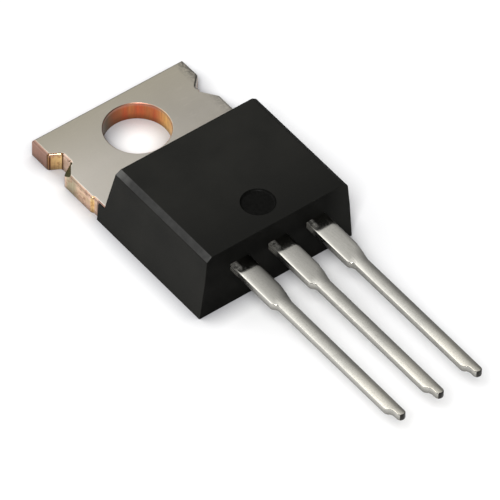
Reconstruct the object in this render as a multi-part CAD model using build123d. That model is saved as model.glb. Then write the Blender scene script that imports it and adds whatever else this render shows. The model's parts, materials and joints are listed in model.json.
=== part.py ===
from build123d import *
import os
from math import atan2, cos, hypot, radians, sin, tan

# Power transistor in a through-hole package with a heat-sink tab, in millimetres.
# The origin is the centre of the mounting hole on the tab's rear face. +Z runs up from that
# face, the leads point towards -Y, and +X is on the right with the body facing up. Places
# along Y are given as distances from the hole, towards the leads unless the name says tab end.

# Heat-sink tab, the thick end of the drain frame
TAB_WIDTH = 10.14
TAB_THICKNESS = 1.20
HOLE_DIAMETER = 3.75
HOLE_TO_TAB_END = 2.70
HOLE_TO_TAB_SHOULDER = 2.62
TAB_SHOULDER_STEP = 0.10
TAB_CORNER_RADIUS = 0.18
TAB_EDGE_ROLL = 0.16
HOLE_EDGE_ROLL = 0.08

# Notch in each side of the tab, with two sloping flanks
NOTCH_DEPTH = 0.67
NOTCH_START = 1.26
NOTCH_OUTER_FLANK = 0.38
NOTCH_FLOOR = 0.80
NOTCH_INNER_FLANK = 0.26

# The plate that carries on from the tab inside the body, coined thinner round its rear edge
PLATE_WIDTH = 8.90
HOLE_TO_PLATE_LOCK = 4.00
HOLE_TO_PLATE_END = 9.60
COINED_WIDTH = 0.45
COINED_HEIGHT = 0.35

# Leads, all cut from the thin part of the strip
LEAD_PITCH = 2.54
LEAD_THICKNESS = 0.46
LEAD_TOP_HEIGHT = 3.09
LEAD_WIDE = 1.24
LEAD_NARROW = 0.78
HOLE_TO_LEAD_SHOULDER = 15.94
LEAD_SHOULDER_LENGTH = 0.42
HOLE_TO_LEAD_TIP = 26.17
TIP_STEP_WIDTH = 0.28
TIP_STEP_LENGTH = 0.34
TIP_NIB_LENGTH = 0.61

# Neck that steps the drain lead up from the plate
NECK_WIDTH = 3.20
NECK_OVERLAP = 0.60
NECK_LEVEL_LENGTH = 0.30
NECK_TAPER_LENGTH = 0.60
NECK_SLOPE = 55.0
NECK_BEND_RADIUS = 0.50

# Bond posts at the inner ends of the two outer leads
HOLE_TO_POST = 10.45
POST_LENGTH = 1.25
POST_TAPER_LENGTH = 0.25
GATE_POST_WIDTH = 1.90
SOURCE_POST_WIDTH = 2.60

# Chip and the solder under it
DIE_WIDTH = 4.40
DIE_LENGTH = 3.80
DIE_THICKNESS = 0.25
HOLE_TO_DIE = 7.00
SOLDER_MARGIN = 0.10
SOLDER_THICKNESS = 0.05

# Bond wires, with the places where they start on the chip and end on the posts
GATE_WIRE_DIAMETER = 0.15
GATE_CHIP_BOND_X = 1.58
HOLE_TO_GATE_CHIP_BOND = 8.00
SOURCE_WIRE_DIAMETER = 0.38
SOURCE_CHIP_BOND_X = (0.35, 1.45)
SOURCE_POST_BOND_X = (2.54, 3.58)
HOLE_TO_SOURCE_CHIP_BONDS = 6.86
HOLE_TO_POST_BONDS = 11.39
WIRE_FOOT_LENGTH = 0.45
WIRE_RISE_SLOPE = 52.0
WIRE_FALL_SLOPE = 18.0
WIRE_LOOP_RADIUS = 1.40
WIRE_SEAT = 0.82

# Moulded body
BODY_BASE_WIDTH = 10.26
BODY_HEIGHT = 4.40
SIDE_DRAFT = 5.7
SIDE_BEVEL_WIDTH = 0.32
SIDE_BEVEL_HEIGHT = 0.27
HOLE_TO_BODY_SKIRT = 3.22
HOLE_TO_BODY = 3.69
END_DRAFT = 11.3
HOLE_TO_BODY_FRONT = 12.36
FRONT_DRAFT = 1.5
PARTING_HEIGHT = 2.72
DIMPLE_DIAMETER = 1.96
DIMPLE_DEPTH = 0.12
DIMPLE_WALL_SLOPE = 0.08
HOLE_TO_DIMPLE = 10.59

# Sizes worked out from the ones above
LEAD_BOTTOM_HEIGHT = LEAD_TOP_HEIGHT - LEAD_THICKNESS
DIE_TOP_HEIGHT = TAB_THICKNESS + SOLDER_THICKNESS + DIE_THICKNESS
NOTCH_LENGTH = NOTCH_OUTER_FLANK + NOTCH_FLOOR + NOTCH_INNER_FLANK


def mirrored_face(right_side):
    """Face in the XY plane from its right-hand outline, listed from the tab end to the leads."""
    left_side = [(-x, y) for x, y in reversed(right_side)]
    return make_face(Polyline(*right_side, *left_side, close=True))


def tab():
    """Tab with its hole, two notched sides and the rounded upper edge that the press leaves."""
    half = TAB_WIDTH / 2
    floor_x = half - NOTCH_DEPTH
    floor_start = NOTCH_START - NOTCH_OUTER_FLANK
    outline = mirrored_face([
        (half, HOLE_TO_TAB_END),
        (half, NOTCH_START),
        (floor_x, floor_start),
        (floor_x, floor_start - NOTCH_FLOOR),
        (half, NOTCH_START - NOTCH_LENGTH),
        (half, -HOLE_TO_TAB_SHOULDER),
    ])
    end_corners = outline.vertices().group_by(Axis.Y)[-1]
    outline = fillet(end_corners, TAB_CORNER_RADIUS) - Circle(HOLE_DIAMETER / 2)
    blank = extrude(outline, TAB_THICKNESS)
    upper = blank.edges().group_by(Axis.Z)[-1]
    rim = upper.filter_by(GeomType.CIRCLE).sort_by(SortBy.RADIUS)[-1]
    joined = upper.sort_by(Axis.Y)[0]
    blank = fillet(upper - [rim, joined], TAB_EDGE_ROLL)
    rim = blank.edges().group_by(Axis.Z)[-1].filter_by(GeomType.CIRCLE).sort_by(SortBy.RADIUS)[-1]
    return fillet(rim, HOLE_EDGE_ROLL)


def plate():
    """Plate from the tab's shoulder to its end in the body, with the step that locks the epoxy."""
    neck_half = TAB_WIDTH / 2 - TAB_SHOULDER_STEP
    plate_half = PLATE_WIDTH / 2
    outline = mirrored_face([
        (neck_half, -HOLE_TO_TAB_SHOULDER),
        (neck_half, -HOLE_TO_PLATE_LOCK),
        (plate_half, -HOLE_TO_PLATE_LOCK),
        (plate_half, -HOLE_TO_PLATE_END),
    ])
    rear_half = plate_half - COINED_WIDTH
    coined_length = HOLE_TO_PLATE_END - HOLE_TO_PLATE_LOCK
    middle = -(HOLE_TO_PLATE_LOCK + HOLE_TO_PLATE_END) / 2
    coined = Pos(0, middle) * Rectangle(PLATE_WIDTH, coined_length)
    kept = Pos(0, middle + COINED_WIDTH) * Rectangle(2 * rear_half, coined_length)
    return extrude(outline, TAB_THICKNESS) - extrude(coined - kept, COINED_HEIGHT)


def lead_side_points():
    """Outline of a lead outside the body, round its tip, for a lead centred on X = 0."""
    wide = LEAD_WIDE / 2
    narrow = LEAD_NARROW / 2
    shoulder_y = -HOLE_TO_LEAD_SHOULDER
    narrow_y = shoulder_y - LEAD_SHOULDER_LENGTH
    tip_y = -HOLE_TO_LEAD_TIP
    nib_y = tip_y + TIP_NIB_LENGTH
    nib_x = TIP_STEP_WIDTH - narrow
    right = [(wide, shoulder_y), (narrow, narrow_y), (narrow, tip_y)]
    left = [
        (nib_x, tip_y),
        (nib_x, nib_y),
        (-narrow, nib_y + TIP_STEP_LENGTH),
        (-narrow, narrow_y),
        (-wide, shoulder_y),
    ]
    return right + left


def drain_outline():
    """Plan of the neck and the drain lead."""
    wide = LEAD_WIDE / 2
    neck = NECK_WIDTH / 2
    neck_y = -HOLE_TO_PLATE_END - NECK_LEVEL_LENGTH
    inner = [
        (-wide, neck_y - NECK_TAPER_LENGTH),
        (-neck, neck_y),
        (-neck, -HOLE_TO_PLATE_END + NECK_OVERLAP),
        (neck, -HOLE_TO_PLATE_END + NECK_OVERLAP),
        (neck, neck_y),
        (wide, neck_y - NECK_TAPER_LENGTH),
    ]
    return make_face(Polyline(*lead_side_points(), *inner, close=True))


def drain_strip():
    """Strip with the two bends that lift the drain lead to the level of the other leads."""
    low_z = TAB_THICKNESS - LEAD_THICKNESS / 2
    high_z = LEAD_TOP_HEIGHT - LEAD_THICKNESS / 2
    start_y = -HOLE_TO_PLATE_END + NECK_OVERLAP
    rise_y = -HOLE_TO_PLATE_END - NECK_LEVEL_LENGTH
    top_y = rise_y - (high_z - low_z) / tan(radians(NECK_SLOPE))
    path = FilletPolyline(
        (0, start_y, low_z),
        (0, rise_y, low_z),
        (0, top_y, high_z),
        (0, -HOLE_TO_LEAD_TIP, high_z),
        radius=NECK_BEND_RADIUS,
    )
    section = Plane(path @ 0, x_dir=(1, 0, 0), z_dir=path % 0)
    return sweep(section * Rectangle(NECK_WIDTH, LEAD_THICKNESS), path=path)


def drain_frame():
    """Tab, plate, neck and drain lead, which are one piece of strip."""
    lead = drain_strip() & extrude(drain_outline(), BODY_HEIGHT)
    return tab() + plate() + lead


def outer_lead(side, post_width):
    """Gate or source lead: a flat stamping with a bond post, its inner edge clear of the neck."""
    wide = LEAD_WIDE / 2
    post_y = -HOLE_TO_POST
    post_end_y = post_y - POST_LENGTH
    lead_y = post_end_y - POST_TAPER_LENGTH
    inner_x = -side * wide
    outer_x = inner_x + side * post_width
    post = make_face(Polyline(
        (inner_x, post_y),
        (outer_x, post_y),
        (outer_x, post_end_y),
        (side * wide, lead_y),
        (inner_x, lead_y),
        close=True,
    ))
    stem = make_face(Polyline(*lead_side_points(), (-wide, lead_y), (wide, lead_y), close=True))
    place = Pos(side * LEAD_PITCH, 0, LEAD_BOTTOM_HEIGHT)
    return place * extrude(post + stem, LEAD_THICKNESS)


def die_solder():
    """Solder between the plate and the chip."""
    width = DIE_WIDTH + 2 * SOLDER_MARGIN
    length = DIE_LENGTH + 2 * SOLDER_MARGIN
    face = Pos(0, -HOLE_TO_DIE, TAB_THICKNESS) * Rectangle(width, length)
    return extrude(face, SOLDER_THICKNESS)


def silicon_die():
    """The transistor chip."""
    face = Pos(0, -HOLE_TO_DIE, TAB_THICKNESS + SOLDER_THICKNESS) * Rectangle(DIE_WIDTH, DIE_LENGTH)
    return extrude(face, DIE_THICKNESS)


def bond_wire(start, end, diameter, seats):
    """Wire from the chip to a post: a foot pressed flat at each end, and one arch between them."""
    seat = diameter / 2 * WIRE_SEAT
    low_z = DIE_TOP_HEIGHT + seat
    high_z = LEAD_TOP_HEIGHT + seat
    span = hypot(end[0] - start[0], end[1] - start[1])
    turn = atan2(end[1] - start[1], end[0] - start[0])
    toe = span - WIRE_FOOT_LENGTH
    rise = tan(radians(WIRE_RISE_SLOPE))
    fall = tan(radians(WIRE_FALL_SLOPE))
    rise_run = (high_z - low_z + (toe - WIRE_FOOT_LENGTH) * fall) / (rise + fall)
    route = [
        (0, low_z),
        (WIRE_FOOT_LENGTH, low_z),
        (WIRE_FOOT_LENGTH + rise_run, low_z + rise_run * rise),
        (toe, high_z),
        (span, high_z),
    ]
    points = [(start[0] + s * cos(turn), start[1] + s * sin(turn), z) for s, z in route]
    arch = FilletPolyline(*points[1:4], radius=WIRE_LOOP_RADIUS)
    path = Line(points[0], points[1]) + arch + Line(points[3], points[4])
    section = Plane(points[0], z_dir=Vector(cos(turn), sin(turn), 0)) * Circle(diameter / 2)
    wire = sweep(section, path=path, transition=Transition.RIGHT)
    for solid in seats:
        wire = wire - solid
    return wire


def body_form():
    """Outer form of the moulding: its end view and its side view, crossed."""
    base = BODY_BASE_WIDTH / 2
    bevel_z = BODY_HEIGHT - SIDE_BEVEL_HEIGHT
    bevel_x = base - bevel_z * tan(radians(SIDE_DRAFT))
    top_x = bevel_x - SIDE_BEVEL_WIDTH
    end_view = Plane.XZ * make_face(Polyline(
        (-base, 0), (base, 0), (bevel_x, bevel_z), (top_x, BODY_HEIGHT),
        (-top_x, BODY_HEIGHT), (-bevel_x, bevel_z), close=True,
    ))
    front_lean = tan(radians(FRONT_DRAFT))
    end_top = -HOLE_TO_BODY - (BODY_HEIGHT - TAB_THICKNESS) * tan(radians(END_DRAFT))
    side_view = Plane.YZ * make_face(Polyline(
        (-HOLE_TO_BODY_SKIRT, 0),
        (-HOLE_TO_BODY_SKIRT, TAB_THICKNESS),
        (-HOLE_TO_BODY, TAB_THICKNESS),
        (end_top, BODY_HEIGHT),
        (-HOLE_TO_BODY_FRONT + (BODY_HEIGHT - PARTING_HEIGHT) * front_lean, BODY_HEIGHT),
        (-HOLE_TO_BODY_FRONT, PARTING_HEIGHT),
        (-HOLE_TO_BODY_FRONT + PARTING_HEIGHT * front_lean, 0),
        close=True,
    ))
    form = extrude(end_view, HOLE_TO_LEAD_TIP) & extrude(side_view, base, both=True)
    rim = DIMPLE_DIAMETER / 2
    dimple = Cone(rim - DIMPLE_WALL_SLOPE, rim, DIMPLE_DEPTH, align=(Align.CENTER, Align.CENTER, Align.MAX))
    return form - Pos(0, -HOLE_TO_DIMPLE, BODY_HEIGHT) * dimple


def moulded_body(inside):
    """Epoxy body: the outer form less everything that it was cast round."""
    body = body_form()
    for solid in inside:
        body = body - solid
    return body


def build_nodes():
    """Every separate piece of the transistor, by the name of its file."""
    die = silicon_die()
    gate = outer_lead(-1, GATE_POST_WIDTH)
    source = outer_lead(1, SOURCE_POST_WIDTH)
    nodes = {
        "drain_frame": drain_frame(),
        "gate_lead": gate,
        "source_lead": source,
        "die_solder": die_solder(),
        "silicon_die": die,
        "gate_wire": bond_wire(
            (-GATE_CHIP_BOND_X, -HOLE_TO_GATE_CHIP_BOND),
            (-LEAD_PITCH, -HOLE_TO_POST_BONDS),
            GATE_WIRE_DIAMETER,
            [die, gate],
        ),
    }
    bonds = zip(SOURCE_CHIP_BOND_X, SOURCE_POST_BOND_X)
    for number, (chip_x, post_x) in enumerate(bonds, start=1):
        nodes[f"source_wire_{number}"] = bond_wire(
            (chip_x, -HOLE_TO_SOURCE_CHIP_BONDS),
            (post_x, -HOLE_TO_POST_BONDS),
            SOURCE_WIRE_DIAMETER,
            [die, source],
        )
    nodes["moulded_body"] = moulded_body(list(nodes.values()))
    return nodes


os.makedirs("parts", exist_ok=True)
for name, shape in build_nodes().items():
    export_step(shape, f"parts/{name}.step")
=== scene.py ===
import json
import math
from contextlib import contextmanager

import bmesh
import bpy
from mathutils import Matrix, Quaternion, Vector


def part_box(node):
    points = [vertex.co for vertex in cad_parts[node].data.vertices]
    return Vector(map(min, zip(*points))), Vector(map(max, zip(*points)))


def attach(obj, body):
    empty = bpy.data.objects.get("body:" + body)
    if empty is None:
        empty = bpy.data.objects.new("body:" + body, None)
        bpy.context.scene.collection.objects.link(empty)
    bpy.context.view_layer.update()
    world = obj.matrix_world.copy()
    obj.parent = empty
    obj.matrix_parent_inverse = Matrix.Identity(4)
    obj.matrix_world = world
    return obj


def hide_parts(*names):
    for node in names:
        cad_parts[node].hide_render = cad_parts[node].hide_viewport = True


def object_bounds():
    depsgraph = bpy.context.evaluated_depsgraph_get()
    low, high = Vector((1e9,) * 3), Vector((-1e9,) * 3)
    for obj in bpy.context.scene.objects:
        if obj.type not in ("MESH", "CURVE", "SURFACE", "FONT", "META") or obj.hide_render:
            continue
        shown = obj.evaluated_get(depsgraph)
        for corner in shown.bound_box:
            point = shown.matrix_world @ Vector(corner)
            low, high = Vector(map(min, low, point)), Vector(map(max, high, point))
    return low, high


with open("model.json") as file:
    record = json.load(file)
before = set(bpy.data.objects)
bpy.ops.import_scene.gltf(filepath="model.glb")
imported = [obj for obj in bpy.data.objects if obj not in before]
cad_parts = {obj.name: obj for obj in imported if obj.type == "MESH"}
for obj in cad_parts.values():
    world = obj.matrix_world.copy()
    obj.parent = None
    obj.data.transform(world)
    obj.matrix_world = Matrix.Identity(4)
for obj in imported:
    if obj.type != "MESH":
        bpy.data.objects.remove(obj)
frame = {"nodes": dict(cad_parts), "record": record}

bl_info = {
    "name": "Power Transistor",
    "version": (1, 0, 0),
    "blender": (4, 5, 0),
    "location": "View3D > Sidebar > Transistor",
    "description": "Builds a moulded power transistor with a plated heat-sink tab and three leads",
    "category": "Add Mesh",
}

# Lengths are in metres, and in millimetres within the materials.
MM = 0.001
NEAR = 0.0005 * MM  # places nearer than this are the same place
CLEAR = 0.01 * MM  # keeps a cut off a face that it would otherwise share
BEYOND = MM  # how far a cutting block reaches past what it cuts

LEFT, RIGHT = -1, 1
ACROSS, ALONG, UP = range(3)

# How much of a face's normal lies along an axis.
LEVEL = 0.97  # a face that is flat and level
FACING = 0.9  # a face that looks along the axis
LEANING = 0.3  # a face that leans that way
ROUNDED = 0.25  # part of a rounded or bevelled edge

SHARP, BENT = 0.5, 0.3  # angles between two faces, in radians
SMOOTH_ANGLE = math.radians(40)
FLAT_ANGLE = math.radians(0.5)

# How finely round forms are made.
HOLE_SIDES, DIMPLE_SIDES = 96, 72
BEND_STEPS = 6
CROWN_RINGS = 5  # on each side of a lead's middle
CROWN_LEVELS = 24

# A noise's values lie mostly between these.
NOISE_LOW, NOISE_HIGH = 0.3, 0.7

CAD_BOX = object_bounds()
FRAME_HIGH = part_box("drain_frame")[1]
GATE_LOW, GATE_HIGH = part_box("gate_lead")
SOURCE_LOW, SOURCE_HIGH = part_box("source_lead")
BODY_LOW, BODY_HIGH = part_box("moulded_body")
TAB_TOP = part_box("die_solder")[0].z
HOLE_MOUNT = next(m for m in frame["record"]["mounts"] if m["name"] == "mounting_hole")
HOLE_RADIUS = HOLE_MOUNT["dims"]["r_mm"] * MM

# In millimetres.
HALF_PITCH = 1.27  # half the distance between two leads
BRIGHT_BELOW = 0.1  # from a lead's upper face to where its side is brightest
BODY_FRONT = BODY_LOW.y / MM
PLATE_THICKNESS = TAB_TOP / MM

AIM = Vector((-0.42, -10.52, 0.88)) * MM  # the point that the camera looks at
LAMP_DISTANCE = 1.2  # from the lamp to that point, as a share of the camera's distance
SENSOR_WIDTH = 36.0  # in millimetres
FARTHEST = 10.0  # how far the camera sees
FLOOR_SIZE = 4.0
FLOOR_DROP = 0.002 * MM  # keeps the floor off the part's underside


def length(name, description, millimetres):
    """A size that the sidebar shows, with its default in millimetres."""
    return bpy.props.FloatProperty(
        name=name, description=description, default=millimetres * MM, unit="LENGTH", precision=5
    )


def angle(name, description, degrees):
    """An angle that the sidebar shows, with its default in degrees."""
    return bpy.props.FloatProperty(
        name=name, description=description, default=math.radians(degrees), subtype="ANGLE"
    )


def colour(name, description, red, green, blue):
    """A colour that the sidebar shows."""
    return bpy.props.FloatVectorProperty(
        name=name, description=description, default=(red, green, blue), subtype="COLOR",
        min=0.0, max=1.0,
    )


def amount(name, description, value):
    """A plain number that the sidebar shows."""
    return bpy.props.FloatProperty(name=name, description=description, default=value, precision=4)


class TabSettings(bpy.types.PropertyGroup):
    """Sizes and colours of the heat-sink tab and the plate behind the chip"""

    notch_depth: length("Notch depth", "How far each side notch cuts in", 0.67)
    notch_start: length("Notch start", "From the hole to the notch's outer corner", 1.26)
    outer_flank: length("Outer flank", "Run of the notch's flank nearer the tab end", 0.38)
    notch_floor: length("Notch floor", "Length of the notch's straight floor", 0.80)
    inner_flank: length("Inner flank", "Run of the notch's flank nearer the body", 0.26)
    right_flank: length("Right flank", "Run of the right notch's flank nearer the tab end", 0.68)
    right_floor_rise: length("Right floor rise", "How far the right notch's floor slants out", 0.22)
    shoulder: length("Shoulder", "From the hole to the small step beside the body", 2.62)
    shoulder_step: length("Shoulder step", "How far the tab steps in at its shoulder", 0.10)
    plate_start: length("Plate start", "From the hole to where the plate narrows", 4.00)
    plate_end: length("Plate end", "From the hole to the plate's far edge", 9.60)
    plate_width: length("Plate width", "Width of the plate inside the body", 8.90)
    coined_width: length("Coined width", "Width of the step coined round the plate's rear", 0.45)
    coined_height: length("Coined height", "Height of that step", 0.35)
    corner_radius: length("Corner radius", "Rounding of the tab's two outer corners", 0.05)
    crease: length("Crease", "Width of the rounding at a notch's corners", 0.12)
    step_crease: length("Step crease", "Width of the rounding at the shoulder's corners", 0.07)
    edge_roll: length("Edge roll", "Rounding that the press leaves on the upper edge", 0.17)
    burr_radius: length("Lower edge", "Rounding of the lower edge", 0.03)
    hole_roll: length("Hole roll", "Rounding of the hole's upper rim", 0.08)
    crush_depth: length("Crush depth", "How far a notch's inner corner is pressed down", 0.44)
    crush_length: length("Crush length", "How far that reaches along the side", 0.64)
    plating: colour("Plating", "Matt plating of the tab", 0.74, 0.69, 0.605)
    copper: colour("Copper", "Bare copper of the sheared sides", 0.785, 0.54, 0.40)
    gold: colour("Fresh copper", "Fresh copper of the notches' flanks", 0.97, 0.62, 0.27)
    # Painted shade on the rounded creases at a notch's corners.
    shaded_crease_copper: colour("Dark copper", "Tarnished copper in a notch's corners", 0.15, 0.075, 0.035)
    crushed_copper: colour("Crushed copper", "Olive copper of a crushed corner", 0.07, 0.07, 0.03)
    hole_copper: colour("Hole copper", "Bare copper of the hole's wall", 0.57, 0.125, 0.052)


class LeadSettings(bpy.types.PropertyGroup):
    """Sizes and colour of the three leads"""

    pitch: length("Pitch", "Distance between neighbouring leads", 2.54)
    wide: length("Wide part", "Width of a lead beside the body", 1.24)
    narrow: length("Narrow part", "Width of a lead beyond its shoulder", 0.78)
    shoulder: length("Shoulder", "From the hole to the leads' shoulder", 15.94)
    shoulder_length: length("Shoulder length", "Length over which a lead narrows", 0.42)
    left_shoulder: length("Left shoulder", "The same on a lead's left side", 0.20)
    right_shoulder: length("Right shoulder", "The same on a lead's right side", 1.30)
    step_width: length("Tip step", "How far the tip steps in on its left side", 0.28)
    step_length: length("Tip step length", "Length of the slope of that step", 0.24)
    nib_length: length("Nib length", "Length of the nib at the tip", 0.61)
    post_length: length("Post length", "Length of a bond post", 1.25)
    post_taper: length("Post taper", "Length over which a post narrows to its lead", 0.25)
    neck_width: length("Neck width", "Width of the drain lead where it leaves the plate", 3.20)
    neck_level: length("Neck level", "Level run of the neck beyond the plate", 0.30)
    neck_taper: length("Neck taper", "Length over which the neck narrows", 0.60)
    neck_overlap: length("Neck overlap", "How far the neck's strip starts inside the plate", 0.60)
    neck_radius: length("Neck bend", "Radius of the neck's two bends", 0.50)
    neck_slope: angle("Neck slope", "Slope of the neck between its bends", 55.0)
    shoulder_radius: length("Shoulder radius", "Rounding of the shoulder in plan", 0.30)
    nib_radius: length("Nib radius", "Rounding of the tip's step in plan", 0.16)
    tip_radius: length("Tip radius", "Rounding of the tip's end in plan", 0.22)
    root: length("Root", "How far a lead's finished part reaches into the body", 0.35)
    edge_radius: length("Edge radius", "Rounding of a lead's upper edges", 0.16)
    lower_radius: length("Lower edge", "Rounding of a lead's lower edges", 0.04)
    crown: length("Crown", "How far a lead's narrow part falls from its middle to its edges", 0.050)
    margin: length("Margin", "Width of the rolled margins of a lead's wide part", 0.13)
    margin_drop: length("Margin drop", "How far those margins fall to the edges", 0.012)
    tin: colour("Tin", "Bright plating of the leads", 0.716, 0.699, 0.641)
    cut_end: colour("Cut end", "Bare metal of the leads' sheared ends", 0.022, 0.021, 0.019)


class BodySettings(bpy.types.PropertyGroup):
    """Sizes and colour of the moulded body"""

    rear: length("Rear", "From the hole to the body's rear edge on the tab", 3.69)
    rear_draft: angle("Rear draft", "Lean of the face over the tab", 11.3)
    front_draft: angle("Front draft", "Lean of the front, both ways from the parting line", 1.5)
    side_draft: angle("Side draft", "Lean of the two sides", 5.7)
    bevel_width: length("Bevel width", "Width of the bevel along the upper side edges", 0.32)
    bevel_height: length("Bevel height", "Height of that bevel", 0.27)
    parting: length("Parting line", "Height of the mould's parting line", 2.72)
    flash: length("Flash", "How far the parting line stands proud", 0.012)
    flash_height: length("Flash height", "Half the height of the parting line", 0.025)
    edge_radius: length("Edge radius", "Rounding of the body's edges", 0.05)
    dimple_place: length("Dimple place", "From the hole to the middle of the dimple", 10.59)
    dimple_diameter: length("Dimple diameter", "Width of the round dimple in the top", 1.96)
    dimple_depth: length("Dimple depth", "Depth of the dimple", 0.12)
    dimple_wall: length("Dimple wall", "How far the dimple's wall slopes in", 0.08)
    seat: length("Seat", "How far the moulding stays below the tab's upper face", 0.01)
    epoxy: colour("Epoxy", "Colour of the moulding", 0.0165, 0.0165, 0.0150)
    # Painted highlight: a lighter epoxy for the left upper edges, also the base of the parting
    # line's colour.
    highlight_epoxy: colour("Worn epoxy", "Colour of the moulding's rubbed edges", 0.020, 0.020, 0.019)


class StageSettings(bpy.types.PropertyGroup):
    """Floor, light and camera"""

    floor: colour("Floor", "Colour of the floor", 0.85, 0.85, 0.855)
    floor_glow: amount("Floor glow", "What the floor adds for the camera and for gloss", 0.04)
    # Reach of the painted contact shadow on the floor.
    contact: length("Contact shadow", "How far from the part that is less", 1.3)
    sky_low: amount("Low sky", "Strength of the soft light near the horizon", 0.12)
    sky_high: amount("High sky", "Strength of the soft light overhead", 0.80)
    sky_left: amount("Sky left", "Share of the soft light's strength at the left", 2.10)
    sky_right: amount("Sky right", "Share of the soft light's strength at the right", 0.28)
    sky_front: amount("Sky front", "Share of the soft light's strength at the front", 0.22)
    key: amount("Key", "Power of the soft lamp behind the camera, in watts", 2.95)
    key_size: length("Key size", "Width of that lamp", 185.0)
    key_azimuth: angle("Key azimuth", "Direction of that lamp round the object", -43.5)
    key_elevation: angle("Key elevation", "Height of that lamp above the horizon", 51.5)
    lens: amount("Lens", "Focal length in millimetres", 632.4)
    distance: length("Distance", "From the camera to the point it looks at", 467.2)
    azimuth: angle("Azimuth", "Direction of the camera round the object", -38.35)
    elevation: angle("Elevation", "Height of the camera above the horizon", 46.92)
    roll: angle("Roll", "Turn of the camera about its own line of sight", 1.22)


def near(first, second):
    """True for two lengths that are the same."""
    return abs(first - second) < NEAR


def within(value, low, high):
    """True for a length between two others, or the same as one of them."""
    return low - NEAR < value < high + NEAR


def level_edge(a, b, z):
    """True for an edge that lies at this height."""
    return near(a.z, z) and near(b.z, z)


def upright_edge(a, b):
    """True for an edge that stands upright."""
    return near(a.x, b.x) and near(a.y, b.y)


def select_piece(piece):
    """Makes this the only selected object, and the active one."""
    bpy.ops.object.select_all(action="DESELECT")
    piece.select_set(True)
    bpy.context.view_layer.objects.active = piece


@contextmanager
def editing(piece):
    """Edit mode on one piece, for as long as the block lasts."""
    select_piece(piece)
    bpy.ops.object.mode_set(mode="EDIT")
    yield
    bpy.ops.object.mode_set(mode="OBJECT")


def add_solid(name, add, **form):
    """A primitive of this form, as the start of a piece or as a tool."""
    bpy.ops.object.select_all(action="DESELECT")
    add(**form)
    solid = bpy.context.object
    solid.name = solid.data.name = name
    bpy.ops.object.transform_apply(location=True, rotation=True, scale=True)
    return solid


def add_block(name, low, high):
    """A block with these two corners."""
    low, high = Vector(low), Vector(high)
    add = bpy.ops.mesh.primitive_cube_add
    return add_solid(name, add, size=1, location=(low + high) / 2, scale=high - low)


def pick(kind, test):
    """In edit mode, selects only the points, edges or faces that pass the test."""
    bpy.ops.mesh.select_mode(type=kind)
    bpy.ops.mesh.select_all(action="DESELECT")
    data = bpy.context.object.data
    mesh = bmesh.from_edit_mesh(data)
    mesh.normal_update()
    for part in {"VERT": mesh.verts, "EDGE": mesh.edges, "FACE": mesh.faces}[kind]:
        if test(part):
            part.select_set(True)
    mesh.select_flush_mode()
    bmesh.update_edit_mesh(data)


def pick_faces(test):
    """In edit mode, selects only the faces whose middle and normal pass the test."""
    pick("FACE", lambda face: test(face.calc_center_median(), face.normal))


def move_points(test, x, y, z):
    """In edit mode, moves the points whose place passes the test by this much."""
    pick("VERT", lambda point: test(point.co))
    bpy.ops.transform.translate(value=(x, y, z))


def widen_points(test, factor, centre_x=0):
    """In edit mode, stretches the points whose place passes the test across the part."""
    pick("VERT", lambda point: test(point.co))
    bpy.ops.transform.resize(value=(factor, 1, 1), center_override=(centre_x, 0, 0))


def round_edges(test, radius, segments, sharper=None, keep_clear=True):
    """In edit mode, rounds the edges whose two ends pass the test.

    Given sharper, these are only the edges whose faces meet at more than that angle. With
    keep_clear, the rounded edges don't run into each other.
    """
    def chosen(edge):
        enough = sharper is None or edge.calc_face_angle(0) > sharper
        return enough and test(edge.verts[0].co, edge.verts[1].co)

    pick("EDGE", chosen)
    bpy.ops.mesh.bevel(
        offset=radius, offset_type="OFFSET", segments=segments, profile=0.5, affect="EDGES",
        clamp_overlap=keep_clear,
    )


def extrude(x, y, z):
    """In edit mode, draws what is selected out by this much."""
    bpy.ops.mesh.extrude_region_move(TRANSFORM_OT_translate={"value": (x, y, z)})


def bend(angle, y, z):
    """In edit mode, bends what is selected on about a line across the part."""
    bpy.ops.mesh.spin(steps=BEND_STEPS, angle=angle, axis=(1, 0, 0), center=(0, y, z))


def cut_rings(axis, *places):
    """In edit mode, adds a ring of edges round the piece at each place along an axis."""
    normal = Matrix.Identity(3)[axis]
    for place in places:
        bpy.ops.mesh.select_all(action="SELECT")
        bpy.ops.mesh.bisect(plane_co=normal * place, plane_no=normal)


def dissolve_flat():
    """In edit mode, takes away the edges that divide flat faces."""
    bpy.ops.mesh.select_all(action="SELECT")
    bpy.ops.mesh.dissolve_limited(angle_limit=FLAT_ANGLE)


def tidy_mesh(piece):
    """Merges doubles and points the faces outwards."""
    with editing(piece):
        bpy.ops.mesh.select_all(action="SELECT")
        bpy.ops.mesh.remove_doubles(threshold=NEAR / 5)
        bpy.ops.mesh.normals_make_consistent(inside=False)


def combine(piece, tool, operation):
    """Joins or cuts a piece with another, which is then removed."""
    select_piece(piece)
    modifier = piece.modifiers.new("combine", "BOOLEAN")
    modifier.operation = operation
    modifier.solver = "EXACT"
    modifier.object = tool
    bpy.ops.object.modifier_apply(modifier=modifier.name)
    bpy.data.objects.remove(tool)
    tidy_mesh(piece)


def cut_blocks(piece, *corners):
    """Cuts blocks out of a piece, each given by its two corners."""
    for low, high in corners:
        combine(piece, add_block("cutter", low, high), "DIFFERENCE")


def smooth_piece(piece):
    """Smooth shading across the rounded edges, with the flat faces kept flat."""
    select_piece(piece)
    bpy.ops.object.shade_smooth_by_angle(angle=SMOOTH_ANGLE)
    modifier = piece.modifiers.new("even", "WEIGHTED_NORMAL")
    modifier.keep_sharp = True
    bpy.ops.object.modifier_apply(modifier=modifier.name)


def dress(piece, materials, choose):
    """Gives each face the material that choose names from its middle and normal."""
    names = list(materials)
    piece.data.materials.clear()
    for name in names:
        piece.data.materials.append(materials[name])
    for face in piece.data.polygons:
        face.material_index = names.index(choose(face.center, face.normal))


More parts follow.
